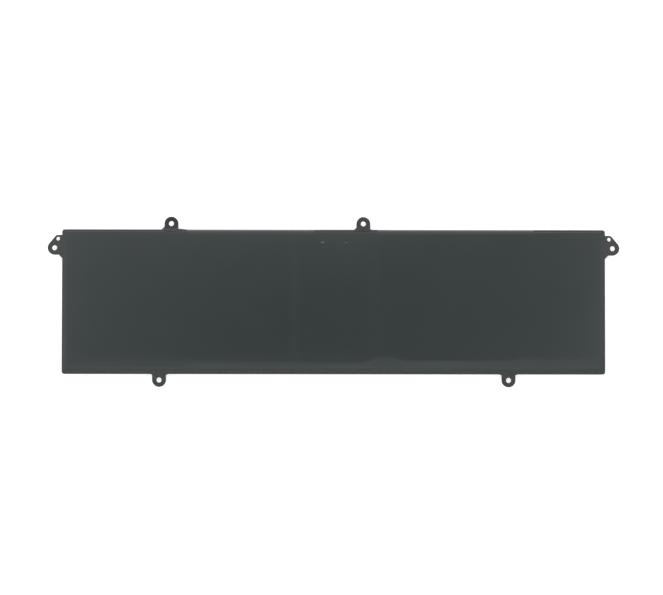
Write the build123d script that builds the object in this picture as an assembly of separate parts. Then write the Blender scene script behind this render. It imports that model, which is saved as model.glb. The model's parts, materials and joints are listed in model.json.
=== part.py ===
from build123d import *
import os

# Slim laptop battery: two lithium pouch cells in a moulded frame with six screw ears, skinned in film.
# Millimetres. X runs along the pack, Y towards its connector edge and Z through its thickness.
# The pack lies on its front film with its back film up. The origin is under its middle, on the front film.

# Pouch cells
CELL_LENGTH = 108.4
CELL_WIDTH = 63.6
CELL_THICKNESS = 5.2
CELL_CORNER_RADIUS = 3.2
CELL_EDGE_RADIUS = 2.6
TERRACE_DEPTH = 4.0
TERRACE_THICKNESS = 0.3
TERRACE_INSET = 2.0
FOLD_THICKNESS = 0.4
FOLD_HEIGHT = 2.4
FOLD_INSET = 4.0

# Room round the cells, and the bay between them that holds the board
BAY_WIDTH = 37.1
BAY_OFFSET = 0.5
CELL_END_GAP = 1.05
CELL_TOP_GAP = 0.25
CELL_BOTTOM_GAP = 0.65

# Film skins and the adhesive sheets under them
FILM_THICKNESS = 0.15
FILM_GAP = 0.05
FRONT_FILM_INSET = 0.5
TAPE_THICKNESS = 0.1
TAPE_INSET = 0.5
END_LIP = 1.0
SIDE_LIP = 0.5
SHOULDER_DROP = 0.2
RIDGE_WIDTH = 3.6
RIDGE_HEIGHT = 0.04
RIDGE_INSET = 2.0
BUMP_DIAMETER = 1.8
BUMP_HEIGHT = 0.14

# Moulded frame
END_WALL = 1.2
TOP_WALL = 1.1
BOTTOM_WALL = 2.4
CORNER_RADIUS = 1.2
POCKET_RADIUS = 0.5
RIM_DROP = 0.6
RIM_CHAMFER = 0.2
LEDGE_DEPTH = 0.18
LEDGE_WIDTH = 0.4
RAIL_HEIGHT = 1.45
STOP_WIDTH = 2.0
STOP_CLEARANCE = 0.4

# Flaps of the back film that fold down over the connector edge, between the full-height walls
FLAP_BEND = 2.0
FLAP_DROP = 2.9
FLAP_PROUD = 0.15
FLAP_RAIL_GAP = 0.15
FLAP_END_GAP = 0.4
LEFT_EAR_SHOULDER = 4.6
CONNECTOR_SHOULDER = 4.3
RIGHT_EAR_SHOULDER = 3.75
CORNER_SHOULDER = 34.2

# Screw ears, flush with the rim
EAR_DIAMETER = 6.6
EAR_REACH = 2.8
EAR_THICKNESS = 1.4
SCREW_HOLE = 2.4
TOP_LEFT_EAR_X = -77.3
TOP_RIGHT_EAR_X = 14.05
BOTTOM_EAR_SPACING = 166.1
BOTTOM_EAR_OFFSET = 0.1
SIDE_EAR_REACH = 3.6
SIDE_EAR_SETBACK = 8.8
LOCATOR_HOLE = 1.75
LOCATOR_DIAMETER = 3.6
LOCATOR_RISE = 4.3
LOCATOR_INSET = 1.65
SIDE_GUSSET = 1.65
GUSSET_LARGE = 1.4
GUSSET_MEDIUM = 1.05
GUSSET_SMALL = 0.5
RAMP_LENGTH = 4.2
RAMP_HEIGHT = 0.4
STEP_LENGTH = 1.2

# Deck, ribs and pins that carry the board
DECK_THICKNESS = 0.6
DECK_INSET = 2.0
RIB_WIDTH = 1.2
RIB_INSET = 1.0
BOARD_STANDOFF = 0.35
BOARD_THICKNESS = 0.8
BOARD_WALL_GAP = 0.3
BOARD_END_MARGIN = 1.15
PIN_DIAMETER = 1.2
PIN_INSET = 0.2
PIN_GAP = 0.65
PIN_HOLE_CLEARANCE = 0.1
PIN_TIP_GAP = 0.04

# Cell tabs, their seals and the plates that they are welded to
TAB_SPACING = 28.0
TAB_WIDTH = 5.0
TAB_THICKNESS = 0.1
TAB_RISE_RUN = 2.4
TAB_BEND_RADIUS = 0.4
TAB_BOARD_GAP = 0.35
TAB_END_MARGIN = 0.5
SEAL_REACH = 0.8
SEAL_WIDTH = 7.0
SEAL_THICKNESS = 0.1
TERRACE_TAPE_THICKNESS = 0.08
TERRACE_TAPE_INSET = 0.3
PLATE_LENGTH = 5.0
PLATE_WIDTH = 6.0
PLATE_THICKNESS = 0.3
PLATE_MARGIN = 0.4

# Connector
CONTACT_COUNT = 8
CONTACT_PITCH = 1.2
CONTACT_WIDTH = 0.4
CONTACT_THICKNESS = 0.25
CONTACT_SETBACK = 0.8
CONTACT_TAIL = 0.35
CONTACT_FOOT = 0.4
HOUSING_DEPTH = 4.7
HOUSING_END = 1.6
HOUSING_WALL = 0.5
HOUSING_BACK = 1.2
HOUSING_SETBACK = 0.1
HOUSING_FIT = 0.15
HOUSING_LEAD_IN = 0.2
LINTEL = 0.4

# Parts soldered to the board: length along X, width along Y, height
MOSFET_SIZE = (5.0, 6.0, 0.9)
GAUGE_SIZE = (5.0, 5.0, 0.8)
PROTECTOR_SIZE = (1.6, 2.9, 1.0)
RESISTOR_SENSE_SIZE = (6.4, 3.2, 0.6)
FUSE_SIZE = (5.4, 3.2, 1.1)
CHIP_SIZE = (1.6, 0.8, 0.6)
CHIP_COUNT = 4
CHIP_PITCH = 1.6
CHIP_MARGIN = 1.9
PART_GAP = 0.9
PART_DRAFT = 5.0
INSULATOR_THICKNESS = 0.1
INSULATOR_INSET = 0.5
FOAM_GAP = 1.0

# Outer size of the frame, from what it holds
PACK_LENGTH = 2 * (CELL_LENGTH + CELL_END_GAP + END_WALL) + BAY_WIDTH
TOP_ROOM = TOP_WALL + CELL_TOP_GAP + FOLD_THICKNESS
BOTTOM_ROOM = BOTTOM_WALL + CELL_BOTTOM_GAP + FOLD_THICKNESS
PACK_WIDTH = CELL_WIDTH + TOP_ROOM + BOTTOM_ROOM
END_X = PACK_LENGTH / 2
EDGE_Y = PACK_WIDTH / 2
NARROWEST_RIM = min(END_WALL, TOP_WALL, BOTTOM_WALL) - LEDGE_WIDTH

# Levels, from the front film up
FRAME_Z = FILM_THICKNESS
CELL_Z = FILM_THICKNESS + TAPE_THICKNESS
CELL_TOP_Z = CELL_Z + CELL_THICKNESS
FILM_Z = CELL_TOP_Z + TAPE_THICKNESS
TOP_Z = FILM_Z + FILM_THICKNESS
RIM_Z = TOP_Z - RIM_DROP
LEDGE_Z = RIM_Z - LEDGE_DEPTH
RAIL_Z = FRAME_Z + RAIL_HEIGHT
DECK_Z = FRAME_Z + DECK_THICKNESS
BOARD_Z = DECK_Z + BOARD_STANDOFF
BOARD_TOP_Z = BOARD_Z + BOARD_THICKNESS
PLATE_TOP_Z = BOARD_TOP_Z + PLATE_THICKNESS
TALLEST_PART = max(MOSFET_SIZE[2], GAUGE_SIZE[2], PROTECTOR_SIZE[2], RESISTOR_SENSE_SIZE[2], FUSE_SIZE[2])
INSULATOR_Z = BOARD_TOP_Z + TALLEST_PART
FOAM_Z = INSULATOR_Z + INSULATOR_THICKNESS
HOUSING_TOP_Z = LEDGE_Z - LINTEL - HOUSING_FIT

# Places across the pack
WALL_TOP_Y = EDGE_Y - TOP_WALL
WALL_BOTTOM_Y = BOTTOM_WALL - EDGE_Y
WALL_END_X = END_X - END_WALL
RIM_TOP_Y = WALL_TOP_Y + LEDGE_WIDTH
RIM_BOTTOM_Y = WALL_BOTTOM_Y - LEDGE_WIDTH
RIM_X = WALL_END_X + LEDGE_WIDTH
CELL_Y0 = BOTTOM_ROOM - EDGE_Y
CELL_Y1 = CELL_Y0 + CELL_WIDTH
CELL_MID_Y = (CELL_Y0 + CELL_Y1) / 2
FLAP_Y = EDGE_Y + FLAP_PROUD
PLATEAU_X0 = BAY_OFFSET - BAY_WIDTH / 2 - CELL_LENGTH + CELL_EDGE_RADIUS
PLATEAU_X1 = BAY_OFFSET + BAY_WIDTH / 2 + CELL_LENGTH - CELL_EDGE_RADIUS
PLATEAU_Y0 = CELL_Y0 + CELL_EDGE_RADIUS
PLATEAU_Y1 = CELL_Y1 - CELL_EDGE_RADIUS
BOTTOM_LEFT_EAR_X = BOTTOM_EAR_OFFSET - BOTTOM_EAR_SPACING / 2
BOTTOM_RIGHT_EAR_X = BOTTOM_EAR_OFFSET + BOTTOM_EAR_SPACING / 2

# Board, its pins and its connector
TERRACE_END = BAY_WIDTH / 2 - TERRACE_DEPTH
BOARD_HALF = TERRACE_END - SEAL_REACH - TAB_RISE_RUN - TAB_BOARD_GAP
DECK_HALF = BOARD_HALF - DECK_INSET
BOARD_Y1 = WALL_TOP_Y - BOARD_WALL_GAP
BOARD_Y0 = CELL_MID_Y - TAB_SPACING / 2 - PLATE_WIDTH / 2 - BOARD_END_MARGIN
HOUSING_HALF = (CONTACT_COUNT - 1) * CONTACT_PITCH / 2 + HOUSING_END
HOUSING_FACE_Y = EDGE_Y - HOUSING_SETBACK
HOUSING_BACK_Y = HOUSING_FACE_Y - HOUSING_DEPTH
PIN_X = HOUSING_HALF - PIN_INSET
PIN_Y = HOUSING_BACK_Y - PIN_GAP - PIN_DIAMETER / 2
PIN_TIP_Z = FILM_Z + BUMP_HEIGHT - PIN_TIP_GAP
FOAM_Y1 = PIN_Y - PIN_DIAMETER / 2 - FOAM_GAP

# Stretches of the connector edge where the film folds down
FLAPS = (
    (TOP_LEFT_EAR_X + EAR_DIAMETER / 2 + LEFT_EAR_SHOULDER, BAY_OFFSET - HOUSING_HALF - CONNECTOR_SHOULDER),
    (TOP_RIGHT_EAR_X + EAR_DIAMETER / 2 + RIGHT_EAR_SHOULDER, END_X - CORNER_SHOULDER),
)
SIDES = ((-1, "left"), (1, "right"))


def slab(x0, x1, y0, y1, z0, z1, radius=0.0):
    """A flat piece between two corners, with its upright edges rounded where a radius is given."""
    length = x1 - x0
    width = y1 - y0
    plan = RectangleRounded(length, width, radius) if radius else Rectangle(length, width)
    return Pos((x0 + x1) / 2, (y0 + y1) / 2, z0) * extrude(plan, z1 - z0)


def cell_end(side):
    """Place along X of a cell's end at the bay."""
    return BAY_OFFSET + side * BAY_WIDTH / 2


def gusset(corner, side, run, rise):
    """Sloped web between an ear's flank and the frame's edge."""
    outline = Polyline((corner, 0), (corner + side * run, 0), (corner, rise), close=True)
    return make_face(outline)


def long_edge_ear(left, right):
    """Plan of an ear that stands out along +Y from an edge on the X axis, with a gusset on each flank."""
    half = EAR_DIAMETER / 2
    tip = Pos(0, EAR_REACH)
    neck_length = EAR_REACH + NARROWEST_RIM / 2
    plan = tip * Circle(half)
    plan += Pos(0, EAR_REACH - neck_length / 2) * Rectangle(EAR_DIAMETER, neck_length)
    plan += gusset(-half, -1, *left)
    plan += gusset(half, 1, *right)
    return plan


def side_ear():
    """Plan of an ear that stands out along +X, with room for a screw at Y = 0 and a locating post."""
    locator_reach = SIDE_EAR_REACH - LOCATOR_INSET
    half_turn = Rot(0, 0, 180)
    screw_rim = Pos(SIDE_EAR_REACH, 0) * half_turn * Circle(EAR_DIAMETER / 2)
    locator_rim = Pos(locator_reach, LOCATOR_RISE) * half_turn * Circle(LOCATOR_DIAMETER / 2)
    plan = make_hull(screw_rim.edges() + locator_rim.edges())
    top = LOCATOR_RISE + LOCATOR_DIAMETER / 2
    bottom = -EAR_DIAMETER / 2
    root = -NARROWEST_RIM / 2
    plan += make_face(
        Polyline(
            (root, top),
            (locator_reach, top),
            (SIDE_EAR_REACH, bottom),
            (SIDE_GUSSET, bottom),
            (0, bottom - SIDE_GUSSET),
            (root, bottom - SIDE_GUSSET),
            close=True,
        )
    )
    return plan


def ears():
    """The six ears as plates, flush with the rim."""
    large = (GUSSET_LARGE, GUSSET_LARGE)
    medium = (GUSSET_MEDIUM, GUSSET_MEDIUM)
    small = (GUSSET_SMALL, GUSSET_SMALL)
    ramp = (RAMP_LENGTH, RAMP_HEIGHT)
    step = (STEP_LENGTH, RAMP_HEIGHT)
    half_turn = Rot(0, 0, 180)
    right_ear = Pos(END_X, EDGE_Y - SIDE_EAR_SETBACK) * side_ear()
    plans = [
        Pos(TOP_LEFT_EAR_X, EDGE_Y) * long_edge_ear(large, ramp),
        Pos(TOP_RIGHT_EAR_X, EDGE_Y) * long_edge_ear(medium, small),
        Pos(BOTTOM_LEFT_EAR_X, -EDGE_Y) * half_turn * long_edge_ear(step, small),
        Pos(BOTTOM_RIGHT_EAR_X, -EDGE_Y) * half_turn * long_edge_ear(step, step),
        right_ear,
        mirror(right_ear, Plane.YZ),
    ]
    return [Pos(0, 0, RIM_Z - EAR_THICKNESS) * extrude(plan, EAR_THICKNESS, dir=(0, 0, 1)) for plan in plans]


def ear_holes():
    """Screw and locating holes through the ears."""
    screw_x = END_X + SIDE_EAR_REACH
    screw_y = EDGE_Y - SIDE_EAR_SETBACK
    ear_y = EDGE_Y + EAR_REACH
    locator_x = screw_x - LOCATOR_INSET
    locator_y = screw_y + LOCATOR_RISE
    screw = Circle(SCREW_HOLE / 2)
    plans = [
        Pos(TOP_LEFT_EAR_X, ear_y) * screw,
        Pos(TOP_RIGHT_EAR_X, ear_y) * screw,
        Pos(BOTTOM_LEFT_EAR_X, -ear_y) * screw,
        Pos(BOTTOM_RIGHT_EAR_X, -ear_y) * screw,
    ]
    for side, _ in SIDES:
        plans.append(Pos(side * screw_x, screw_y) * screw)
        plans.append(Pos(side * locator_x, locator_y) * Circle(LOCATOR_HOLE / 2))
    middle = Pos(0, 0, RIM_Z - EAR_THICKNESS / 2)
    return [middle * extrude(plan, EAR_THICKNESS, both=True) for plan in plans]


def board_seat():
    """Deck across the bay, with two ribs under the board and two pins through it."""
    deck = slab(
        BAY_OFFSET - DECK_HALF,
        BAY_OFFSET + DECK_HALF,
        WALL_BOTTOM_Y - BOTTOM_WALL / 2,
        WALL_TOP_Y + TOP_WALL / 2,
        FRAME_Z,
        DECK_Z,
    )
    for side, _ in SIDES:
        rib_x = BAY_OFFSET + side * (DECK_HALF - RIB_INSET - RIB_WIDTH / 2)
        deck += slab(rib_x - RIB_WIDTH / 2, rib_x + RIB_WIDTH / 2, BOARD_Y0, BOARD_Y1, FRAME_Z, BOARD_Z)
        pin = Cylinder(PIN_DIAMETER / 2, PIN_TIP_Z - FRAME_Z, align=(Align.CENTER, Align.CENTER, Align.MIN))
        pin = chamfer(pin.edges().group_by(Axis.Z)[-1], PIN_DIAMETER / 4)
        deck += Pos(BAY_OFFSET + side * PIN_X, PIN_Y, FRAME_Z) * pin
    return deck


def cell_stops():
    """Posts on the long walls that keep the cells from sliding into the bay, clear of their terraces."""
    posts = []
    for side, _ in SIDES:
        near = cell_end(side) - side * STOP_CLEARANCE
        far = near - side * STOP_WIDTH
        x0 = min(near, far)
        x1 = max(near, far)
        bottom_y = CELL_Y0 + TERRACE_INSET - STOP_CLEARANCE
        top_y = CELL_Y1 - TERRACE_INSET + STOP_CLEARANCE
        posts.append(slab(x0, x1, WALL_BOTTOM_Y - BOTTOM_WALL / 2, bottom_y, FRAME_Z, LEDGE_Z - LINTEL))
        posts.append(slab(x0, x1, top_y, WALL_TOP_Y, FRAME_Z, LEDGE_Z - LINTEL))
    return posts


def outline_edges(frame):
    """Upper edges of the frame's outline and its ears, but not those on the film's side of the rim."""
    outer_x = END_X - NARROWEST_RIM / 4
    outer_y = EDGE_Y - NARROWEST_RIM / 4
    edges = frame.edges().filter_by_position(Axis.Z, RIM_Z, RIM_Z)
    return [edge for edge in edges if abs((edge @ 0.5).X) > outer_x or abs((edge @ 0.5).Y) > outer_y]


def make_frame():
    """Moulded frame: walls with a rebated rim, flap windows, ears, and the seat for the board."""
    outline = RectangleRounded(PACK_LENGTH, PACK_WIDTH, CORNER_RADIUS)
    frame = Pos(0, 0, FRAME_Z) * extrude(outline, RIM_Z - FRAME_Z)
    frame -= slab(-WALL_END_X, WALL_END_X, WALL_BOTTOM_Y, WALL_TOP_Y, FRAME_Z, RIM_Z, POCKET_RADIUS)
    frame -= slab(-RIM_X, RIM_X, RIM_BOTTOM_Y, RIM_TOP_Y, LEDGE_Z, RIM_Z, POCKET_RADIUS + LEDGE_WIDTH)
    for start, end in FLAPS:
        window_y = WALL_TOP_Y - TOP_WALL
        frame -= slab(start - FLAP_END_GAP, end + FLAP_END_GAP, window_y, EDGE_Y + TOP_WALL, RAIL_Z, RIM_Z)
    for ear in ears():
        frame += ear
    frame = chamfer(outline_edges(frame), RIM_CHAMFER)
    for hole in ear_holes():
        frame -= hole
    frame += board_seat()
    for post in cell_stops():
        frame += post
    window_half = HOUSING_HALF + HOUSING_FIT
    frame -= slab(
        BAY_OFFSET - window_half,
        BAY_OFFSET + window_half,
        WALL_TOP_Y - BOARD_WALL_GAP,
        EDGE_Y + TOP_WALL,
        BOARD_TOP_Z - HOUSING_FIT,
        HOUSING_TOP_Z + HOUSING_FIT,
    )
    return frame


def film_form():
    """Everything under the back film's outer face, down to the ledge that the film's border lies on."""
    border_x = RIM_X - FILM_GAP
    border_z = LEDGE_Z + FILM_THICKNESS
    border_radius = POCKET_RADIUS + LEDGE_WIDTH - FILM_GAP
    form = slab(
        -border_x,
        border_x,
        RIM_BOTTOM_Y + FILM_GAP,
        RIM_TOP_Y - FILM_GAP,
        LEDGE_Z,
        border_z,
        border_radius,
    )
    foot_length = 2 * WALL_END_X
    foot_width = WALL_TOP_Y - WALL_BOTTOM_Y
    foot_y = (WALL_TOP_Y + WALL_BOTTOM_Y) / 2
    foot = RectangleRounded(foot_length, foot_width, POCKET_RADIUS)
    shoulder = RectangleRounded(foot_length - 2 * END_LIP, foot_width - 2 * SIDE_LIP, POCKET_RADIUS)
    crown_radius = CELL_CORNER_RADIUS - CELL_EDGE_RADIUS
    crown = RectangleRounded(PLATEAU_X1 - PLATEAU_X0, PLATEAU_Y1 - PLATEAU_Y0, crown_radius)
    form += loft(
        [
            Pos(0, foot_y, border_z) * foot,
            Pos(0, foot_y, TOP_Z - SHOULDER_DROP) * shoulder,
            Pos((PLATEAU_X0 + PLATEAU_X1) / 2, (PLATEAU_Y0 + PLATEAU_Y1) / 2, TOP_Z) * crown,
        ],
        ruled=True,
    )
    for side, _ in SIDES:
        form += Pos(cell_end(side), 0, TOP_Z) * film_ridge()
        form += Pos(BAY_OFFSET + side * PIN_X, PIN_Y, TOP_Z) * film_bump()
    return form


def film_ridge():
    """Low crease where the film passes over a cell's end, as a bar that is half sunk in the sheet."""
    half = RIDGE_WIDTH / 2
    crease = ThreePointArc((-half, 0), (0, RIDGE_HEIGHT), (half, 0))
    section = make_face([crease, Line((half, 0), (-half, 0))])
    length = PLATEAU_Y1 - PLATEAU_Y0 - 2 * RIDGE_INSET
    middle = (PLATEAU_Y1 + PLATEAU_Y0) / 2
    return Pos(0, middle, 0) * extrude(Plane.XZ * section, length / 2, both=True)


def film_bump():
    """Shallow dome where the film is pushed up by a pin."""
    half = BUMP_DIAMETER / 2
    sphere_radius = (half**2 + BUMP_HEIGHT**2) / (2 * BUMP_HEIGHT)
    dome = Pos(0, 0, BUMP_HEIGHT - sphere_radius) * Sphere(sphere_radius)
    return dome & slab(-half, half, -half, half, 0, BUMP_HEIGHT)


def film_flap(start, end):
    """Flap that carries on from the flat of the film, over a rounded edge and down to the rail."""
    bend = (FLAP_Y - FLAP_BEND, TOP_Z - FLAP_DROP)
    inner_y = FLAP_Y - FILM_THICKNESS
    inner_bend = FLAP_BEND - FILM_THICKNESS
    inner_drop = FLAP_DROP - FILM_THICKNESS
    foot_z = RAIL_Z + FLAP_RAIL_GAP
    section = make_face(
        [
            EllipticalCenterArc(bend, FLAP_BEND, FLAP_DROP, arc_size=90),
            Polyline((bend[0], TOP_Z), (PLATEAU_Y1, TOP_Z), (PLATEAU_Y1, FILM_Z), (bend[0], FILM_Z)),
            EllipticalCenterArc(bend, inner_bend, inner_drop, arc_size=90),
            Polyline((inner_y, bend[1]), (inner_y, foot_z), (FLAP_Y, foot_z), (FLAP_Y, bend[1])),
        ]
    )
    return Pos((start + end) / 2, 0, 0) * extrude(Plane.YZ * section, (end - start) / 2, both=True)


def make_back_film():
    """Formed back film: a flat field, borders that fall to a lip in the rebate, and two folded flaps."""
    form = film_form()
    film = form - Pos(0, 0, -FILM_THICKNESS) * form
    for start, end in FLAPS:
        film -= slab(start, end, PLATEAU_Y1, EDGE_Y, FRAME_Z, TOP_Z)
        film += film_flap(start, end)
    return film


def make_front_film():
    """Flat sheet over the front of the frame and the cells."""
    x = END_X - FRONT_FILM_INSET
    y = EDGE_Y - FRONT_FILM_INSET
    return slab(-x, x, -y, y, 0, FILM_THICKNESS, CORNER_RADIUS - FRONT_FILM_INSET)


def make_cell(side):
    """Sealed pouch: a drawn cup with rounded edges, a terrace at the bay and folded side seals."""
    end = cell_end(side)
    far = end + side * CELL_LENGTH
    x0 = min(end, far)
    x1 = max(end, far)
    body = slab(x0, x1, CELL_Y0, CELL_Y1, CELL_Z, CELL_TOP_Z, CELL_CORNER_RADIUS)
    body = fillet(body.edges().group_by(Axis.Z)[-1], CELL_EDGE_RADIUS)
    terrace_x = (end - side * TERRACE_DEPTH, end + side * CELL_CORNER_RADIUS)
    body += slab(
        min(terrace_x),
        max(terrace_x),
        CELL_Y0 + TERRACE_INSET,
        CELL_Y1 - TERRACE_INSET,
        CELL_Z,
        CELL_Z + TERRACE_THICKNESS,
    )
    for inner_y, outer_y in ((CELL_Y0, CELL_Y0 - FOLD_THICKNESS), (CELL_Y1, CELL_Y1 + FOLD_THICKNESS)):
        root_y = 2 * inner_y - outer_y
        fold_y = (root_y, outer_y)
        body += slab(x0 + FOLD_INSET, x1 - FOLD_INSET, min(fold_y), max(fold_y), CELL_Z, CELL_Z + FOLD_HEIGHT)
    return body


def make_tape(side, inset, base_z):
    """Adhesive sheet on one face of a cell."""
    near = cell_end(side) + side * inset
    far = cell_end(side) + side * (CELL_LENGTH - inset)
    x = (near, far)
    return slab(min(x), max(x), CELL_Y0 + inset, CELL_Y1 - inset, base_z, base_z + TAPE_THICKNESS)


def make_terrace_tape(side):
    """Insulating strip on a cell's terrace."""
    near = cell_end(side) - side * TERRACE_TAPE_INSET
    far = cell_end(side) - side * (TERRACE_DEPTH - TERRACE_TAPE_INSET)
    x = (near, far)
    y0 = CELL_Y0 + TERRACE_INSET + TERRACE_TAPE_INSET
    y1 = CELL_Y1 - TERRACE_INSET - TERRACE_TAPE_INSET
    z0 = CELL_Z + TERRACE_THICKNESS
    return slab(min(x), max(x), y0, y1, z0, z0 + TERRACE_TAPE_THICKNESS)


def make_tab(side, y):
    """Cell tab that leaves the terrace, rises beside the board and lies on its weld plate."""
    terrace_z = CELL_Z + TERRACE_THICKNESS / 2
    plate_z = PLATE_TOP_Z + TAB_THICKNESS / 2
    rise = TERRACE_END - SEAL_REACH
    tip = BOARD_HALF - PLATE_MARGIN - PLATE_LENGTH + TAB_END_MARGIN
    points = [
        (side * TERRACE_END, terrace_z),
        (side * rise, terrace_z),
        (side * (rise - TAB_RISE_RUN), plate_z),
        (side * tip, plate_z),
    ]
    section = Plane.XZ * trace(FilletPolyline(*points, radius=TAB_BEND_RADIUS), TAB_THICKNESS)
    return Pos(BAY_OFFSET, y, 0) * extrude(section, TAB_WIDTH / 2, both=True)


def make_tab_seal(side, y):
    """Sealing film moulded round a tab where it leaves the terrace."""
    x = (BAY_OFFSET + side * TERRACE_END, BAY_OFFSET + side * (TERRACE_END - SEAL_REACH / 2))
    middle_z = CELL_Z + TERRACE_THICKNESS / 2
    half = TAB_THICKNESS / 2
    sleeve = slab(
        min(x),
        max(x),
        y - SEAL_WIDTH / 2,
        y + SEAL_WIDTH / 2,
        middle_z - half - SEAL_THICKNESS,
        middle_z + half + SEAL_THICKNESS,
    )
    opening = slab(min(x), max(x), y - TAB_WIDTH / 2, y + TAB_WIDTH / 2, middle_z - half, middle_z + half)
    return sleeve - opening


def make_weld_plate(side, y):
    """Plate soldered to the board for one tab."""
    outer = BAY_OFFSET + side * (BOARD_HALF - PLATE_MARGIN)
    x = (outer, outer - side * PLATE_LENGTH)
    return slab(min(x), max(x), y - PLATE_WIDTH / 2, y + PLATE_WIDTH / 2, BOARD_TOP_Z, PLATE_TOP_Z)


def make_board():
    """Protection board with a hole for each pin."""
    board = slab(BAY_OFFSET - BOARD_HALF, BAY_OFFSET + BOARD_HALF, BOARD_Y0, BOARD_Y1, BOARD_Z, BOARD_TOP_Z)
    for side, _ in SIDES:
        hole = Cylinder(PIN_DIAMETER / 2 + PIN_HOLE_CLEARANCE, BOARD_THICKNESS)
        board -= Pos(BAY_OFFSET + side * PIN_X, PIN_Y, BOARD_Z + BOARD_THICKNESS / 2) * hole
    return board


def make_contact(index):
    """Blade in the connector's mouth, with a tail behind the housing that is soldered to the board."""
    x = BAY_OFFSET + (index - (CONTACT_COUNT - 1) / 2) * CONTACT_PITCH
    blade_z = (BOARD_TOP_Z + HOUSING_TOP_Z) / 2
    foot_z = BOARD_TOP_Z + CONTACT_THICKNESS / 2
    tail_y = HOUSING_BACK_Y - CONTACT_TAIL
    points = [
        (HOUSING_FACE_Y - CONTACT_SETBACK, blade_z),
        (tail_y, blade_z),
        (tail_y, foot_z),
        (tail_y - CONTACT_FOOT, foot_z),
    ]
    section = Plane.YZ * trace(Polyline(*points), CONTACT_THICKNESS)
    return Pos(x, 0, 0) * extrude(section, CONTACT_WIDTH / 2, both=True)


def make_housing(contacts):
    """Connector body, open towards the connector edge, with a slot in its back wall for each contact."""
    housing = slab(
        BAY_OFFSET - HOUSING_HALF,
        BAY_OFFSET + HOUSING_HALF,
        HOUSING_BACK_Y,
        HOUSING_FACE_Y,
        BOARD_TOP_Z,
        HOUSING_TOP_Z,
    )
    mouth_half = HOUSING_HALF - HOUSING_WALL
    housing -= slab(
        BAY_OFFSET - mouth_half,
        BAY_OFFSET + mouth_half,
        HOUSING_BACK_Y + HOUSING_BACK,
        HOUSING_FACE_Y,
        BOARD_TOP_Z + HOUSING_WALL,
        HOUSING_TOP_Z - HOUSING_WALL,
    )
    face = housing.faces().sort_by(Axis.Y)[-1]
    housing = chamfer(face.inner_wires()[0].edges(), HOUSING_LEAD_IN)
    for contact in contacts:
        housing -= contact
    return housing


def soldered_part(size, x, y):
    """Moulded body of a part on the board, with drafted sides."""
    length, width, height = size
    body = extrude(Rectangle(length, width), height, taper=PART_DRAFT)
    return Pos(BAY_OFFSET + x, y, BOARD_TOP_Z) * body


def make_board_parts():
    """Parts in rows down the board, between the two pairs of weld plates, and a column of chips each side."""
    nodes = {}
    row_top = CELL_MID_Y + TAB_SPACING / 2 - PLATE_WIDTH / 2
    mosfet_x = (MOSFET_SIZE[0] + PART_GAP) / 2
    mosfet_y = row_top - PART_GAP - MOSFET_SIZE[1] / 2
    nodes["charge_mosfet"] = soldered_part(MOSFET_SIZE, -mosfet_x, mosfet_y)
    nodes["discharge_mosfet"] = soldered_part(MOSFET_SIZE, mosfet_x, mosfet_y)
    gauge_y = mosfet_y - MOSFET_SIZE[1] / 2 - PART_GAP - GAUGE_SIZE[1] / 2
    pair_width = GAUGE_SIZE[0] + PART_GAP + PROTECTOR_SIZE[0]
    gauge_x = (GAUGE_SIZE[0] - pair_width) / 2
    protector_x = (pair_width - PROTECTOR_SIZE[0]) / 2
    nodes["gauge_chip"] = soldered_part(GAUGE_SIZE, gauge_x, gauge_y)
    nodes["protector_chip"] = soldered_part(PROTECTOR_SIZE, protector_x, gauge_y)
    sense_y = gauge_y - GAUGE_SIZE[1] / 2 - PART_GAP - RESISTOR_SENSE_SIZE[1] / 2
    nodes["sense_resistor"] = soldered_part(RESISTOR_SENSE_SIZE, 0, sense_y)
    fuse_y = sense_y - RESISTOR_SENSE_SIZE[1] / 2 - PART_GAP - FUSE_SIZE[1] / 2
    nodes["cell_fuse"] = soldered_part(FUSE_SIZE, 0, fuse_y)
    chip_x = BOARD_HALF - CHIP_MARGIN - CHIP_SIZE[0] / 2
    for index in range(CHIP_COUNT):
        chip_y = CELL_MID_Y + (index - (CHIP_COUNT - 1) / 2) * CHIP_PITCH
        nodes[f"capacitor_{index + 1}"] = soldered_part(CHIP_SIZE, -chip_x, chip_y)
        nodes[f"resistor_{index + 1}"] = soldered_part(CHIP_SIZE, chip_x, chip_y)
    return nodes


def make_insulator():
    """Insulating sheet that lies on the tallest parts of the board."""
    half = BOARD_HALF - INSULATOR_INSET
    y0 = BOARD_Y0 + INSULATOR_INSET
    return slab(BAY_OFFSET - half, BAY_OFFSET + half, y0, FOAM_Y1, INSULATOR_Z, FOAM_Z)


def make_foam(y0, y1, base_z):
    """Foam pad that carries the back film over the bay."""
    return slab(BAY_OFFSET - DECK_HALF, BAY_OFFSET + DECK_HALF, y0, y1, base_z, FILM_Z)


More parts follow.
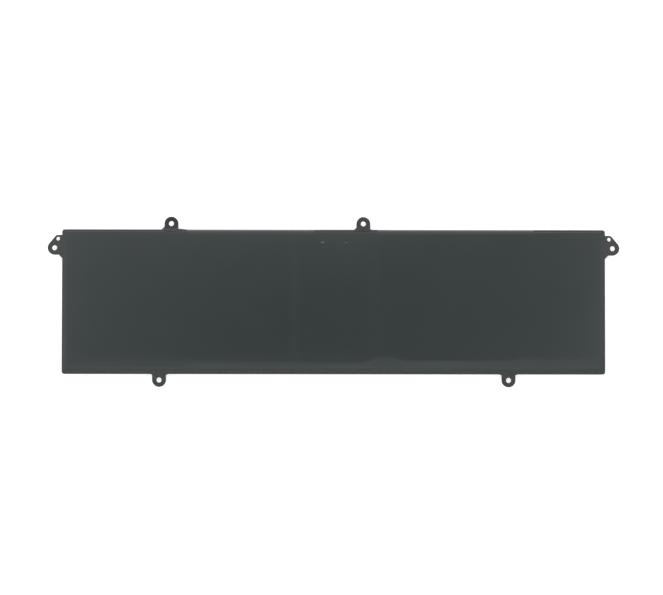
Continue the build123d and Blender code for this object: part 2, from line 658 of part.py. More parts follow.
def make_nodes():
    """Every piece of the pack, by name."""
    nodes = {"frame": make_frame(), "back_film": make_back_film(), "front_film": make_front_film()}
    for side, name in SIDES:
        nodes[f"{name}_cell"] = make_cell(side)
        nodes[f"{name}_back_tape"] = make_tape(side, CELL_EDGE_RADIUS + TAPE_INSET, CELL_TOP_Z)
        nodes[f"{name}_front_tape"] = make_tape(side, CELL_EDGE_RADIUS, FILM_THICKNESS)
        nodes[f"{name}_terrace_tape"] = make_terrace_tape(side)
        for row in (-1, 1):
            polarity = "negative" if side == row else "positive"
            y = CELL_MID_Y + row * TAB_SPACING / 2
            nodes[f"{name}_{polarity}_tab"] = make_tab(side, y)
            nodes[f"{name}_{polarity}_tab_seal"] = make_tab_seal(side, y)
            nodes[f"{name}_{polarity}_weld_plate"] = make_weld_plate(side, y)
    nodes["circuit_board"] = make_board()
    contacts = [make_contact(index) for index in range(CONTACT_COUNT)]
    nodes["connector_housing"] = make_housing(contacts)
    for index, contact in enumerate(contacts):
        nodes[f"connector_contact_{index + 1}"] = contact
    nodes.update(make_board_parts())
    nodes["board_insulator"] = make_insulator()
    nodes["board_foam"] = make_foam(BOARD_Y0 + FOAM_GAP, FOAM_Y1, FOAM_Z)
    nodes["bay_foam"] = make_foam(PLATEAU_Y0, BOARD_Y0 - FOAM_GAP, DECK_Z)
    return nodes


os.makedirs("parts", exist_ok=True)
for node_name, solid in make_nodes().items():
    export_step(solid, f"parts/{node_name}.step")
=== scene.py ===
import json
import math

import bpy
from mathutils import Matrix, Vector


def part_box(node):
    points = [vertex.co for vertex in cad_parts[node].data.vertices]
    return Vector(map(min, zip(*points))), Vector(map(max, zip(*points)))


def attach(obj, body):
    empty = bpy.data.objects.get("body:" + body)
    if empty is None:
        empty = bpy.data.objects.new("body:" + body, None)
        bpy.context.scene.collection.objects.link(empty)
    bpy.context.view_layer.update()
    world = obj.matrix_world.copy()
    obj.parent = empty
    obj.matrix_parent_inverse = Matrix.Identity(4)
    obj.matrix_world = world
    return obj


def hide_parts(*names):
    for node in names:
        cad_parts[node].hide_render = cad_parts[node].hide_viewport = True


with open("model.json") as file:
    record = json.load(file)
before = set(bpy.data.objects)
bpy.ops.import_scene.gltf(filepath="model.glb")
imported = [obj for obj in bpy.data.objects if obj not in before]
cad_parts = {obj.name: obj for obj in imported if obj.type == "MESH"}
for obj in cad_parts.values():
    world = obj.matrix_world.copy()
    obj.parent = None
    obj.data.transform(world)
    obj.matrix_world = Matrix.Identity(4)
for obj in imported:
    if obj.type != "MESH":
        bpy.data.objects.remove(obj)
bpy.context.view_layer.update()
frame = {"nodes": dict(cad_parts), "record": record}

# Looks of a slim laptop battery: a formed satin film over the cells, moulded frame, and everything inside.
# Metres, in the frame of the solids: X along the pack, Y towards the connector edge, Z out of the back film.
MM = 0.001

# Photograph's frame, and the camera that its hole centres give
IMAGE_WIDTH = 663
SENSOR_WIDTH = 36.0
FOCAL_PIXELS = 2312.8
CAMERA_DISTANCE = 1.1
CAMERA_AIM = Vector((-1.08, 2.10, 5.1)) * MM
CAMERA_TILT = math.radians(1.98)
CAMERA_PAN = math.radians(-0.48)
CAMERA_ROLL = math.radians(0.092)
CLIP_START = 0.01

# Light: a white dome, brighter low down, with a darker opening overhead for the camera, and one soft lamp
DOME_DARK = 0.0
DOME_BRIGHT = 1.0
HORIZON_GAIN = 1.3
HORIZON_TOP = 0.6
HORIZON_SIDES = Vector((-0.03, 0.14, 0.0))
OPENING_MIDDLE = Vector((0.010, 0.015, 0.0))
OPENING_HALF_X = 0.255
OPENING_HALF_Y = 0.124
OPENING_SLANT = 0.40
LAMP_PLACE = Vector((-0.9, 1.1, 1.5))
LAMP_SIZE = 1.2
LAMP_POWER = 4.0
FLOOR_SIZE = 6.0
FLOOR_DROP = 0.05 * MM
FLOOR_WHITE = 0.82
FLOOR_GLOW = 0.58
FLOOR_ROUGHNESS = 0.9

# Formed film: sizes as in the solids, but its flaps reach the ends of their windows,
# and it has low ridges at the creases
FILM_THICKNESS = 0.15 * MM
FILM_GAP = 0.05 * MM
LEDGE_WIDTH = 0.4 * MM
TERRACE_DEPTH = 4.0 * MM
RIM_DROP = 0.6 * MM
TOP_WALL = 1.1 * MM
FLAP_PROUD = 0.15 * MM
FLAP_BEND = 2.0 * MM
FLAP_DROP = 2.9 * MM
FLAP_FOOT = 1.75 * MM
FLAPS = ((-69.75 * MM, -9.25 * MM), (20.75 * MM, 95.35 * MM))
PIN_INSET = 0.2 * MM
PIN_BACK = 1.25 * MM
BUMP_RADIUS = 0.9 * MM
BUMP_HEIGHT = 0.14 * MM
RIDGE_HALF_WIDTH = 1.8 * MM
RIDGE_HEIGHT = 0.02 * MM
RIDGE_FADE = 4.0 * MM

# How the film lies: a slight pillow over the field, falling to each edge, with a lip all round at the rim
PILLOW_RISE = 0.24 * MM
END_REACH = 7.5 * MM
LOWER_REACH = 9.0 * MM
UPPER_REACH = 11.0 * MM
BRIM_FALL = 0.03 * MM
BRIM_REACH = 1.6 * MM
RIM_GAP = 0.01 * MM
END_LIP = 1.4 * MM
END_CREST = 1.4 * MM
LOWER_LIP = 1.1 * MM
LOWER_CREST = 1.1 * MM
UPPER_LIP = 0.6 * MM
UPPER_CREST = 0.4 * MM
RIDGE_END = 5.1 * MM

# How far the film falls towards each edge, at places along that edge
LEFT_FALLS = ((-32.0 * MM, 0.21 * MM), (33.0 * MM, 0.17 * MM))
RIGHT_FALLS = ((-32.0 * MM, 0.40 * MM), (33.0 * MM, 0.24 * MM))
LOWER_FALLS = (
    (-120.0 * MM, 0.09 * MM),
    (-80.0 * MM, 0.02 * MM),
    (-50.0 * MM, 0.26 * MM),
    (0.0, 0.24 * MM),
    (50.0 * MM, 0.07 * MM),
    (88.0 * MM, 0.09 * MM),
    (120.0 * MM, 0.26 * MM),
)
UPPER_FALLS = (
    (-120.0 * MM, 0.11 * MM),
    (-62.0 * MM, 0.10 * MM),
    (-14.0 * MM, 0.135 * MM),
    (4.0 * MM, 0.22 * MM),
    (26.0 * MM, 0.10 * MM),
    (60.0 * MM, 0.035 * MM),
    (76.0 * MM, 0.02 * MM),
    (90.0 * MM, -0.05 * MM),
    (106.0 * MM, -0.06 * MM),
    (122.0 * MM, 0.04 * MM),
)

# Soft slope along the lower border: place, how far in it starts, how soon it is full, and its tilt
LOWER_SLOPES = (
    (-100.0 * MM, 12.1 * MM, 11.0 * MM, 0.032),
    (-86.0 * MM, 12.1 * MM, 10.5 * MM, 0.029),
    (-74.0 * MM, 9.0 * MM, 7.5 * MM, 0.032),
    (-62.0 * MM, 6.0 * MM, 4.6 * MM, 0.048),
    (-50.0 * MM, 5.2 * MM, 4.2 * MM, 0.052),
    (-41.0 * MM, 4.6 * MM, 1.8 * MM, 0.024),
    (-6.0 * MM, 4.5 * MM, 2.0 * MM, 0.024),
    (3.0 * MM, 3.9 * MM, 2.2 * MM, 0.038),
    (13.0 * MM, 4.5 * MM, 2.0 * MM, 0.040),
    (25.0 * MM, 8.3 * MM, 3.5 * MM, 0.026),
    (35.0 * MM, 5.4 * MM, 2.2 * MM, 0.046),
    (47.0 * MM, 5.2 * MM, 2.4 * MM, 0.075),
    (59.0 * MM, 5.2 * MM, 2.4 * MM, 0.075),
    (71.0 * MM, 5.6 * MM, 3.0 * MM, 0.054),
    (83.0 * MM, 5.5 * MM, 1.8 * MM, 0.036),
    (93.0 * MM, 8.6 * MM, 6.0 * MM, 0.038),
    (103.0 * MM, 6.2 * MM, 2.8 * MM, 0.030),
    (113.0 * MM, 6.2 * MM, 3.0 * MM, 0.036),
    (122.0 * MM, 7.8 * MM, 4.0 * MM, 0.038),
)

# Painted glints and a painted shade at the two raised spots, in place of their lit and shaded sides: which
# spot, place beside its middle, half widths and colour
BUMP_GLINTS_AND_SHADE = (
    (0, (-0.40 * MM, -0.1 * MM), (0.95 * MM, 0.50 * MM), (0.091, 0.100, 0.100)),
    (1, (-0.45 * MM, -0.2 * MM), (0.65 * MM, 0.65 * MM), (0.053, 0.058, 0.058)),
    (1, (-0.15 * MM, 0.85 * MM), (0.75 * MM, 0.75 * MM), (0.002, 0.003, 0.003)),
)

# Film paler along its two creases: half width, colour, and where along Y it starts, is full and is over
CREASE_HALF_WIDTH = 3.9 * MM
CREASE_COLOUR = (0.0280, 0.0363, 0.0366)
CREASE_STOPS = (-25.5 * MM, -20.0 * MM, 22.0 * MM, 30.0 * MM)

# Painted highlight on the rim of the frame, lighter along the upper edge and less so at the ends: where it
# starts, is full and is over
RIM_HIGHLIGHT_COLOUR = (0.0500, 0.0522, 0.0540)
RIM_HIGHLIGHT_BANDS = (
    ("Y", 0.9, (33.2 * MM, 33.7 * MM, 34.5 * MM, 35.3 * MM)),
    ("X", 0.33, (128.1 * MM, 128.5 * MM, 134.0 * MM, 138.0 * MM)),
)

# Painted shade on the lip of the film, darker at the ends and less so along the lower edge, given as the
# rim's bands are
LIP_SHADE_COLOUR = (0.0198, 0.0257, 0.0259)
LIP_SHADE_BANDS = (
    ("X", 1.0, (127.2 * MM, 127.9 * MM, 129.0 * MM, 130.0 * MM)),
    ("Y", 0.5, (-34.0 * MM, -33.0 * MM, -32.0 * MM, -31.4 * MM)),
)

# Two ears that are darker than the rest of the edge: middle, half widths and colour
EAR_SHADES = (
    ((-77.2 * MM, 38.8 * MM, 4.4 * MM), (5.4 * MM, 5.4 * MM), (0.0085, 0.0090, 0.0095)),
    ((14.2 * MM, 34.4 * MM, 5.1 * MM), (6.0 * MM, 2.4 * MM), (0.0285, 0.0297, 0.0310)),
)

# Spacing of the film's mesh, and the angle from which an edge of it is sharp
COARSE_STEP = 1.2 * MM
FINE_STEP = 0.4 * MM
BUMP_STEP = 0.18 * MM
LIP_STEP = 0.12 * MM
SHARP_ANGLE = math.radians(40)
FLAP_STEPS = 12
SAME_PLACE = 1e-9
COUNT_SLACK = 1e-6

# Detail of a material's uneven colour and of its grain, and the part of a fleck that has its full colour
CLOUD_DETAIL = 4.0
GRAIN_DETAIL = 3.0
FLECK_CORE = 0.33


# Boxes of the solids that the film lies on
film_low, film_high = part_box("back_film")
left_cell_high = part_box("left_cell")[1]
right_cell_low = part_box("right_cell")[0]
housing_low, housing_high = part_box("connector_housing")
tape_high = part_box("left_back_tape")[1]
TOP_Z = tape_high.z + FILM_THICKNESS
RIM_Z = TOP_Z - RIM_DROP
FOOT_Z = RIM_Z - RIM_GAP
WALL_TOP_Y = film_high.y - FLAP_PROUD - TOP_WALL
LEFT_X = film_low.x - FILM_GAP + RIM_GAP
RIGHT_X = film_high.x + FILM_GAP - RIM_GAP
LOWER_Y = film_low.y - FILM_GAP + RIM_GAP
BORDER_TOP_Y = WALL_TOP_Y + LEDGE_WIDTH - RIM_GAP
FLAP_Y = film_high.y
FLAP_CREST_Y = FLAP_Y - FLAP_BEND
RIDGES = (left_cell_high.x - TERRACE_DEPTH, right_cell_low.x + TERRACE_DEPTH)
BUMP_Y = housing_low.y - PIN_BACK
BUMPS = (housing_low.x + PIN_INSET, housing_high.x - PIN_INSET)


def nodes_of(material):
    """The node tree of a material, and its shader."""
    material.use_nodes = True
    tree = material.node_tree
    return tree, tree.nodes["Principled BSDF"]


def join(tree, value, socket):
    """Feed a socket from another one, or set it to a constant."""
    if isinstance(value, bpy.types.NodeSocket):
        tree.links.new(value, socket)
    else:
        socket.default_value = value


def math_node(tree, operation, *values):
    """Result of arithmetic on numbers."""
    node = tree.nodes.new("ShaderNodeMath")
    node.operation = operation
    for value, socket in zip(values, node.inputs):
        join(tree, value, socket)
    return node.outputs["Value"]


def vector_node(tree, operation, *values):
    """Result of arithmetic on vectors: a number for a length or a dot product, and otherwise a vector."""
    node = tree.nodes.new("ShaderNodeVectorMath")
    node.operation = operation
    for value, socket in zip(values, node.inputs):
        join(tree, value, socket)
    return node.outputs["Value" if operation in ("LENGTH", "DOT_PRODUCT") else "Vector"]


def parts_of(tree, vector):
    """X, Y and Z of a vector."""
    node = tree.nodes.new("ShaderNodeSeparateXYZ")
    tree.links.new(vector, node.inputs["Vector"])
    return node.outputs


def object_place(tree):
    """Coordinates of the object itself."""
    return tree.nodes.new("ShaderNodeTexCoord").outputs["Object"]


def noise_node(tree, scale, detail, vector):
    """Noise over the coordinates given."""
    node = tree.nodes.new("ShaderNodeTexNoise")
    node.inputs["Scale"].default_value = scale
    node.inputs["Detail"].default_value = detail
    tree.links.new(vector, node.inputs["Vector"])
    return node.outputs["Fac"]


def ramp_node(tree, factor, low, high, start=0.3, end=0.7):
    """Blend between two colours by a factor."""
    node = tree.nodes.new("ShaderNodeValToRGB")
    first, last = node.color_ramp.elements
    first.position = start
    last.position = end
    first.color = (*low, 1.0)
    last.color = (*high, 1.0)
    tree.links.new(factor, node.inputs["Fac"])
    return node.outputs["Color"]


def range_node(tree, value, source=(0.0, 1.0), target=(0.0, 1.0), interpolation="LINEAR"):
    """A value mapped from one range to another, and kept inside it."""
    node = tree.nodes.new("ShaderNodeMapRange")
    node.interpolation_type = interpolation
    for name, number in zip(("From Min", "From Max", "To Min", "To Max"), (*source, *target)):
        node.inputs[name].default_value = number
    tree.links.new(value, node.inputs["Value"])
    return node.outputs["Result"]


def band_node(tree, value, share, stops):
    """Share of a band that rises from its first stop to its second and falls from its third to its last."""
    rise = range_node(tree, value, stops[:2], (0.0, share))
    end = range_node(tree, value, (stops[3], stops[2]), (0.0, share))
    return math_node(tree, "MINIMUM", rise, end)


def make_material(name, colour, spread, roughness, grain, bump, metallic=0.0, specular=0.5, drift=60.0):
    """Material with uneven colour, uneven roughness and a grain in relief."""
    material = bpy.data.materials.new(name)
    tree, shader = nodes_of(material)
    place = object_place(tree)
    cloud = noise_node(tree, drift, CLOUD_DETAIL, place)
    low = [channel * (1.0 - spread) for channel in colour]
    high = [channel * (1.0 + spread) for channel in colour]
    tree.links.new(ramp_node(tree, cloud, low, high), shader.inputs["Base Color"])
    speck = noise_node(tree, grain, GRAIN_DETAIL, place)
    tree.links.new(range_node(tree, speck, target=roughness), shader.inputs["Roughness"])
    relief = tree.nodes.new("ShaderNodeBump")
    relief.inputs["Strength"].default_value = 1.0
    relief.inputs["Distance"].default_value = bump
    tree.links.new(speck, relief.inputs["Height"])
    tree.links.new(relief.outputs["Normal"], shader.inputs["Normal"])
    shader.inputs["Metallic"].default_value = metallic
    shader.inputs["Specular IOR Level"].default_value = specular
    return material


def add_colour(tree, shader, share, colour):
    """Let a shader's colour give way to another by a share."""
    base = shader.inputs["Base Color"].links[0].from_socket
    blend = tree.nodes.new("ShaderNodeMixRGB")
    tree.links.new(share, blend.inputs["Fac"])
    tree.links.new(base, blend.inputs["Color1"])
    blend.inputs["Color2"].default_value = (*colour, 1.0)
    tree.links.new(blend.outputs["Color"], shader.inputs["Base Color"])


def add_fleck(material, middle, reach, colour):
    """Small spot of another colour on a material, longer one way than the other."""
    tree, shader = nodes_of(material)
    away = vector_node(tree, "SUBTRACT", object_place(tree), middle)
    scaled = vector_node(tree, "DIVIDE", away, (*reach, max(reach)))
    share = range_node(tree, vector_node(tree, "LENGTH", scaled), (1.0, FLECK_CORE))
    add_colour(tree, shader, share, colour)


def add_creases(material):
    """Two upright creases, slightly paler than the film beside them."""
    tree, shader = nodes_of(material)
    place = parts_of(tree, object_place(tree))
    along = band_node(tree, place["Y"], 1.0, CREASE_STOPS)
    for ridge in RIDGES:
        stops = (ridge - CREASE_HALF_WIDTH, ridge, ridge, ridge + CREASE_HALF_WIDTH)
        across = band_node(tree, place["X"], 1.0, stops)
        add_colour(tree, shader, math_node(tree, "MULTIPLY", across, along), CREASE_COLOUR)


def add_bands(material, colour, bands):
    """Bands of another colour across a material, for painted highlight on the frame's rim and painted shade
    on the film's lip; along X they lie the same at both ends.
    """
    tree, shader = nodes_of(material)
    place = parts_of(tree, object_place(tree))
    values = {"X": math_node(tree, "ABSOLUTE", place["X"]), "Y": place["Y"]}
    for axis, share, stops in bands:
        add_colour(tree, shader, band_node(tree, values[axis], share, stops), colour)


def make_materials():
    """One material for each slot of the record."""
    return {
        "frame_plastic": make_material(
            "frame_plastic", (0.0238, 0.0271, 0.0281), 0.45, (0.42, 0.58), 2600.0, 0.004 * MM, drift=1000.0),
        "skin_film": make_material(
            "skin_film", (0.0261, 0.0338, 0.0341), 0.04, (0.13, 0.17), 1500.0, 0.0002 * MM),
        "pouch_laminate": make_material(
            "pouch_laminate", (0.62, 0.63, 0.64), 0.05, (0.32, 0.44), 900.0, 0.002 * MM, metallic=0.8),
        "adhesive": make_material(
            "adhesive", (0.74, 0.74, 0.69), 0.05, (0.45, 0.60), 700.0, 0.002 * MM),
        "aluminium_tab": make_material(
            "aluminium_tab", (0.78, 0.78, 0.79), 0.04, (0.22, 0.36), 1800.0, 0.001 * MM, metallic=1.0),
        "nickel": make_material(
            "nickel", (0.62, 0.59, 0.53), 0.05, (0.24, 0.38), 1800.0, 0.001 * MM, metallic=1.0),
        "seal_resin": make_material(
            "seal_resin", (0.70, 0.70, 0.64), 0.05, (0.35, 0.50), 1200.0, 0.001 * MM),
        "amber_tape": make_material(
            "amber_tape", (0.45, 0.20, 0.03), 0.10, (0.16, 0.28), 900.0, 0.001 * MM),
        "board_laminate": make_material(
            "board_laminate", (0.012, 0.085, 0.035), 0.12, (0.22, 0.36), 1500.0, 0.002 * MM),
        "connector_resin": make_material(
            "connector_resin", (0.022, 0.022, 0.024), 0.12, (0.38, 0.52), 2400.0, 0.002 * MM),
        "gold_contact": make_material(
            "gold_contact", (0.83, 0.60, 0.24), 0.05, (0.18, 0.30), 2400.0, 0.001 * MM, metallic=1.0),
        "chip_resin": make_material(
            "chip_resin", (0.020, 0.020, 0.022), 0.15, (0.45, 0.62), 3000.0, 0.002 * MM),
        "capacitor_ceramic": make_material(
            "capacitor_ceramic", (0.36, 0.23, 0.12), 0.10, (0.35, 0.50), 2400.0, 0.001 * MM),
        "resistor_ceramic": make_material(
            "resistor_ceramic", (0.035, 0.035, 0.045), 0.15, (0.30, 0.45), 2400.0, 0.001 * MM),
        "fuse_ceramic": make_material(
            "fuse_ceramic", (0.74, 0.72, 0.66), 0.06, (0.30, 0.45), 2000.0, 0.001 * MM),
        "foam": make_material(
            "foam", (0.030, 0.030, 0.032), 0.25, (0.80, 0.95), 1600.0, 0.03 * MM, specular=0.2),
    }


def fall(distance, length, crest):
    """Share of the film's full height at a distance in from its foot: straight, with a rounded crest."""
    if distance <= 0.0:
        return 0.0
    if distance >= length:
        return 1.0
    slope = 1.0 / (length - crest / 2)
    straight = length - crest
    if distance <= straight:
        return slope * distance
    past = distance - straight
    return slope * (straight + past - past * past / (2 * crest))


def swell(x, centre, width):
    """Bell curve along X."""
    return math.exp(-((x - centre) / width) ** 2)


def values_at(place, stations):
    """Values at a place along an edge, blended smoothly between the stations given."""
    if place <= stations[0][0]:
        return stations[0][1:]
    for first, second in zip(stations, stations[1:]):
        if place < second[0]:
            share = (place - first[0]) / (second[0] - first[0])
            share = share * share * (3.0 - 2.0 * share)
            return [before + (after - before) * share for before, after in zip(first[1:], second[1:])]
    return stations[-1][1:]


def lower_slope(x, inward):
    """Drop of the soft slope along the lower border."""
    reach, ramp, tilt = values_at(x, LOWER_SLOPES)
    past = max(reach - inward, 0.0) / ramp
    share = past**3 - past**4 / 2 if past < 1.0 else past - 0.5
    return tilt * ramp * share


def film_height(x, y, flap):
    """Outer face of the film over the field and its borders."""
    left = x - LEFT_X
    right = RIGHT_X - x
    bottom = y - LOWER_Y
    top = BORDER_TOP_Y - y
    ends = values_at(y, LEFT_FALLS)[0] * math.exp(-left / END_REACH)
    ends += values_at(y, RIGHT_FALLS)[0] * math.exp(-right / END_REACH)
    lower = values_at(x, LOWER_FALLS)[0] * math.exp(-bottom / LOWER_REACH) + lower_slope(x, bottom)
    dip = (ends**3 + lower**3) ** (1.0 / 3.0)
    dip += values_at(x, UPPER_FALLS)[0] * math.exp(-top / UPPER_REACH)
    dip += BRIM_FALL * math.exp(-top / BRIM_REACH)
    height = TOP_Z + PILLOW_RISE - dip
    lip = min(fall(left, END_LIP, END_CREST), fall(right, END_LIP, END_CREST))
    lip = min(lip, fall(bottom, LOWER_LIP, LOWER_CREST))
    if not flap:
        lip = min(lip, fall(top, UPPER_LIP, UPPER_CREST))
    height = FOOT_Z + (height - FOOT_Z) * lip
    inside = min(max(min(bottom - RIDGE_END, FLAP_CREST_Y - y) / RIDGE_FADE, 0.0), 1.0)
    for ridge in RIDGES:
        height += RIDGE_HEIGHT * inside * swell(x, ridge, RIDGE_HALF_WIDTH)
    for bump in BUMPS:
        away = math.hypot(x - bump, y - BUMP_Y) / BUMP_RADIUS
        if away < 1.0:
            height += BUMP_HEIGHT * (1.0 - away * away) ** 2
    return height


def spaced(start, end, step):
    """Places from start to end, evenly spaced and no further apart than a step, without the last."""
    count = max(1, math.ceil((end - start) / step - COUNT_SLACK))
    return [start + (end - start) * index / count for index in range(count)]


def film_columns():
    """Places along X for the film's mesh, closer together where it bends."""
    cuts = [
        (LEFT_X, LIP_STEP),
        (LEFT_X + END_LIP, FINE_STEP),
        (LEFT_X + END_REACH, COARSE_STEP),
    ]
    marks = []
    for ridge in RIDGES:
        marks.append((ridge - 2 * RIDGE_HALF_WIDTH, FINE_STEP))
        marks.append((ridge + 2 * RIDGE_HALF_WIDTH, COARSE_STEP))
    for bump in BUMPS:
        marks.append((bump - BUMP_RADIUS, BUMP_STEP))
        marks.append((bump + BUMP_RADIUS, COARSE_STEP))
    for start, end in FLAPS:
        marks.append((start, COARSE_STEP))
        marks.append((end, COARSE_STEP))
    cuts += sorted(marks)
    cuts += [(RIGHT_X - END_REACH, FINE_STEP), (RIGHT_X - END_LIP, LIP_STEP), (RIGHT_X, LIP_STEP)]
    columns = []
    for (start, step), (end, _) in zip(cuts, cuts[1:]):
        columns += spaced(start, end, step)
    return columns + [RIGHT_X]


def film_rows():
    """Places along Y for the film's flat field and its lower border."""
    cuts = [
        (LOWER_Y, LIP_STEP),
        (LOWER_Y + LOWER_LIP, FINE_STEP),
        (LOWER_Y + LOWER_REACH, COARSE_STEP),
        (BUMP_Y - BUMP_RADIUS, BUMP_STEP),
        (BUMP_Y + BUMP_RADIUS, FINE_STEP),
        (FLAP_CREST_Y, FINE_STEP),
    ]
    rows = []
    for (start, step), (end, _) in zip(cuts, cuts[1:]):
        rows += spaced(start, end, step)
    return rows + [FLAP_CREST_Y]


def flap_profile(x):
    """Points of a flap past the flat field: over a rounded bend and down to the rail."""
    points = []
    for index in range(1, FLAP_STEPS + 1):
        angle = math.pi / 2 * index / FLAP_STEPS
        y = FLAP_CREST_Y + FLAP_BEND * math.sin(angle)
        points.append((y, film_height(x, y, True) - FLAP_DROP * (1.0 - math.cos(angle))))
    points.append((FLAP_Y, FLAP_FOOT))
    return points


def border_profile(x, count):
    """Points of the upper border past the flat field, down to the ledge behind the rim."""
    points = []
    for index in range(1, count + 1):
        y = FLAP_CREST_Y + (BORDER_TOP_Y - FLAP_CREST_Y) * index / count
        points.append((y, film_height(x, y, False)))
    return points


def film_sheet():
    """Vertices and faces of the film's outer face, slit at the ends of its two flaps."""
    columns = film_columns()
    rows = film_rows()
    tail = len(flap_profile(columns[0]))
    vertices = []
    faces = []
    field = []
    for x in columns:
        field.append([len(vertices) + index for index in range(len(rows))])
        in_flap = any(start <= x <= end for start, end in FLAPS)
        vertices += [(x, y, film_height(x, y, in_flap)) for y in rows]
    for first, second in zip(field, field[1:]):
        for index in range(len(rows) - 1):
            faces.append((first[index], second[index], second[index + 1], first[index + 1]))
    stretches = []
    edge = columns[0]
    for start, end in FLAPS:
        stretches.append((edge, start, False))
        stretches.append((start, end, True))
        edge = end
    stretches.append((edge, columns[-1], False))
    for start, end, folded in stretches:
        previous = None
        for x, column in zip(columns, field):
            if x < start - SAME_PLACE or x > end + SAME_PLACE:
                continue
            profile = flap_profile(x) if folded else border_profile(x, tail)
            strip = [column[-1]] + [len(vertices) + index for index in range(tail)]
            vertices += [(x, y, z) for y, z in profile]
            if previous:
                for index in range(tail):
                    faces.append((previous[index], strip[index], strip[index + 1], previous[index + 1]))
            previous = strip
    return vertices, faces


def make_back_skin(material):
    """The formed film with its thickness, in place of the solid's plainer film."""
    vertices, faces = film_sheet()
    mesh = bpy.data.meshes.new("back_skin")
    mesh.from_pydata(vertices, [], faces)
    mesh.polygons.foreach_set("use_smooth", [True] * len(mesh.polygons))
    mesh.materials.append(material)
    skin = bpy.data.objects.new("back_skin", mesh)
    bpy.context.scene.collection.objects.link(skin)
    shell = skin.modifiers.new("thickness", "SOLIDIFY")
    shell.thickness = FILM_THICKNESS
    shell.offset = -1.0
    sheet = skin.evaluated_get(bpy.context.evaluated_depsgraph_get())
    skin_mesh = bpy.data.meshes.new_from_object(sheet)
    skin.modifiers.clear()
    skin.data = skin_mesh
    skin_mesh.set_sharp_from_angle(angle=SHARP_ANGLE)
    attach(skin, "root")
    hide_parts("back_film")


def dress_solids(materials):
    """Give every solid the material of its slot."""
    for entry in frame["record"]["subparts"]:
        solid = frame["nodes"][entry["node"]]
        solid.data.materials.clear()
        solid.data.materials.append(materials[entry["material_slot"]])


def make_world():
    """White dome with a darker opening overhead."""
    world = bpy.data.worlds.new("dome")
    bpy.context.scene.world = world
    world.use_nodes = True
    tree = world.node_tree
    background = tree.nodes["Background"]
    direction = tree.nodes.new("ShaderNodeTexCoord").outputs["Generated"]
    offset = vector_node(tree, "SUBTRACT", direction, OPENING_MIDDLE)
    lean = vector_node(tree, "MULTIPLY", parts_of(tree, offset)["Y"], (OPENING_SLANT, 0.0, 0.0))
    leaned = vector_node(tree, "SUBTRACT", offset, lean)
    stretched = vector_node(tree, "MULTIPLY", leaned, (1 / OPENING_HALF_X, 1 / OPENING_HALF_Y, 0.0))
    reach = vector_node(tree, "LENGTH", stretched)
    strength = range_node(tree, reach, target=(DOME_DARK, DOME_BRIGHT), interpolation="SMOOTHSTEP")
    gain = range_node(tree, parts_of(tree, direction)["Z"], (0.0, HORIZON_TOP), (HORIZON_GAIN, 1.0))
    level = math_node(tree, "MULTIPLY", strength, gain)
    sides = vector_node(tree, "DOT_PRODUCT", direction, HORIZON_SIDES)
    sided = math_node(tree, "MULTIPLY_ADD", level, sides, level)
    background.inputs["Color"].default_value = (1.0, 1.0, 1.0, 1.0)
    tree.links.new(sided, background.inputs["Strength"])


def make_lamp():
    """One large soft lamp behind the connector edge."""
    light = bpy.data.lights.new("soft_lamp", "AREA")
    light.shape = "SQUARE"
    light.size = LAMP_SIZE
    light.energy = LAMP_POWER
    lamp = bpy.data.objects.new("soft_lamp", light)
    lamp.location = LAMP_PLACE
    lamp.rotation_euler = (-LAMP_PLACE).to_track_quat("-Z", "Y").to_euler()
    bpy.context.scene.collection.objects.link(lamp)


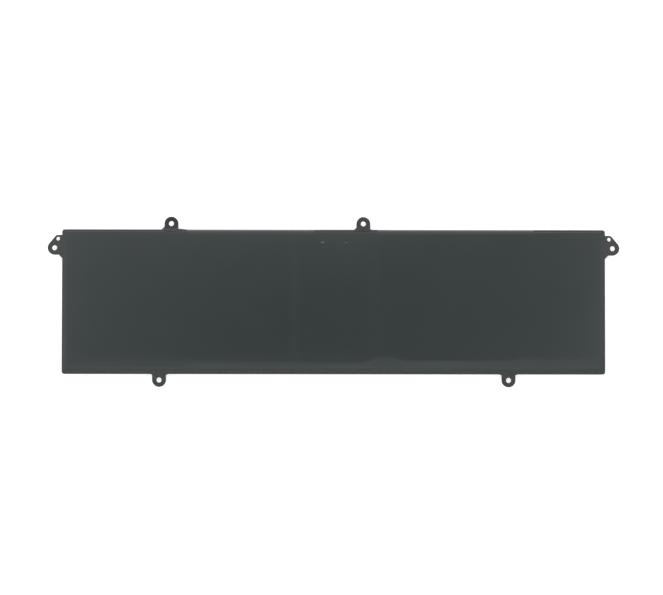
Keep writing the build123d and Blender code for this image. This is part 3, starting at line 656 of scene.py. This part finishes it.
def make_floor():
    """White floor that also glows a little where it is seen or mirrored, and keeps the shadow."""
    half = FLOOR_SIZE / 2
    mesh = bpy.data.meshes.new("floor")
    corners = [(x, y, -FLOOR_DROP) for x, y in ((-half, -half), (half, -half), (half, half), (-half, half))]
    mesh.from_pydata(corners, [], [(0, 1, 2, 3)])
    floor = bpy.data.objects.new("floor", mesh)
    bpy.context.scene.collection.objects.link(floor)
    material = bpy.data.materials.new("floor_white")
    tree, shader = nodes_of(material)
    shader.inputs["Base Color"].default_value = (FLOOR_WHITE, FLOOR_WHITE, FLOOR_WHITE, 1.0)
    shader.inputs["Roughness"].default_value = FLOOR_ROUGHNESS
    shader.inputs["Specular IOR Level"].default_value = 0.0
    shader.inputs["Emission Color"].default_value = (1.0, 1.0, 1.0, 1.0)
    path = tree.nodes.new("ShaderNodeLightPath").outputs
    mirrored = math_node(tree, "ADD", path["Is Glossy Ray"], path["Is Transmission Ray"])
    seen = math_node(tree, "ADD", path["Is Camera Ray"], mirrored)
    glow = range_node(tree, seen, target=(0.0, FLOOR_GLOW))
    tree.links.new(glow, shader.inputs["Emission Strength"])
    mesh.materials.append(material)


def make_camera():
    """Camera at the photograph's place."""
    data = bpy.data.cameras.new("camera")
    data.sensor_fit = "HORIZONTAL"
    data.sensor_width = SENSOR_WIDTH
    data.lens = FOCAL_PIXELS * SENSOR_WIDTH / IMAGE_WIDTH
    data.clip_start = CLIP_START
    turn = Matrix.Rotation(CAMERA_TILT, 4, "X")
    turn = turn @ Matrix.Rotation(CAMERA_PAN, 4, "Y") @ Matrix.Rotation(CAMERA_ROLL, 4, "Z")
    back = turn.to_3x3() @ Vector((0, 0, 1))
    camera = bpy.data.objects.new("camera", data)
    camera.matrix_world = Matrix.Translation(CAMERA_AIM + CAMERA_DISTANCE * back) @ turn
    bpy.context.scene.collection.objects.link(camera)
    bpy.context.scene.camera = camera


materials = make_materials()
add_creases(materials["skin_film"])
# Painted glints and shade of the two raised spots on the film
for spot, (beside_x, beside_y), reach, colour in BUMP_GLINTS_AND_SHADE:
    middle = (BUMPS[spot] + beside_x, BUMP_Y + beside_y, TOP_Z + PILLOW_RISE)
    add_fleck(materials["skin_film"], middle, reach, colour)
# Painted shade along the film's lip
add_bands(materials["skin_film"], LIP_SHADE_COLOUR, LIP_SHADE_BANDS)
# Painted highlight along the frame's rim
add_bands(materials["frame_plastic"], RIM_HIGHLIGHT_COLOUR, RIM_HIGHLIGHT_BANDS)
for middle, reach, colour in EAR_SHADES:
    add_fleck(materials["frame_plastic"], middle, reach, colour)
dress_solids(materials)
make_back_skin(materials["skin_film"])
make_world()
make_lamp()
make_floor()
make_camera()
bpy.context.scene.view_settings.view_transform = "Standard"
